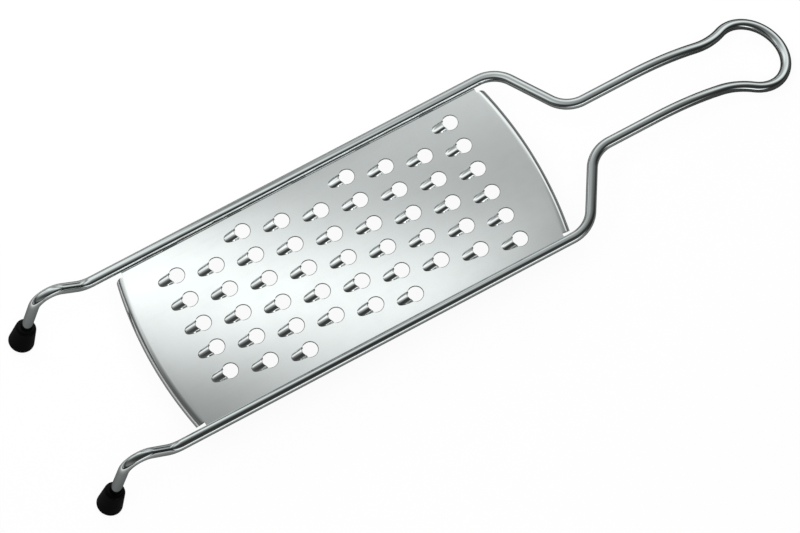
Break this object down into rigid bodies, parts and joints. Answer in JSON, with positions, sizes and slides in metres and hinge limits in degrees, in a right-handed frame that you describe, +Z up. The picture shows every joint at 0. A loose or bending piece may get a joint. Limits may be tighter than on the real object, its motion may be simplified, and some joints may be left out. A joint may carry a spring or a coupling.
{
  "type": "julienne grater",
  "caption": "Flat kitchen grater: a steel sheet of raised round-hole teeth welded between the rails of a bent wire that forms handle, hanging eye and two rubber-capped legs.",
  "frame": {"origin": "on the table, below the middle of the whole length, in the plane of symmetry", "axes": "+X along the grater towards the handle, +Y to the right of someone holding the handle, +Z up from the table"},
  "size_m": [0.4151, 0.1112, 0.0433],
  "materials": {
    "wire": "polished",
    "blade": "mirror polished",
    "cap": "matt",
    "weld": "as welded"
  },
  "bodies": {
    "root": {"wire_frame": "wire", "grating_blade": "blade", "left_foot_cap": "cap", "right_foot_cap": "cap", "left_welds": "weld", "right_welds": "weld"}
  },
  "joints": []
}
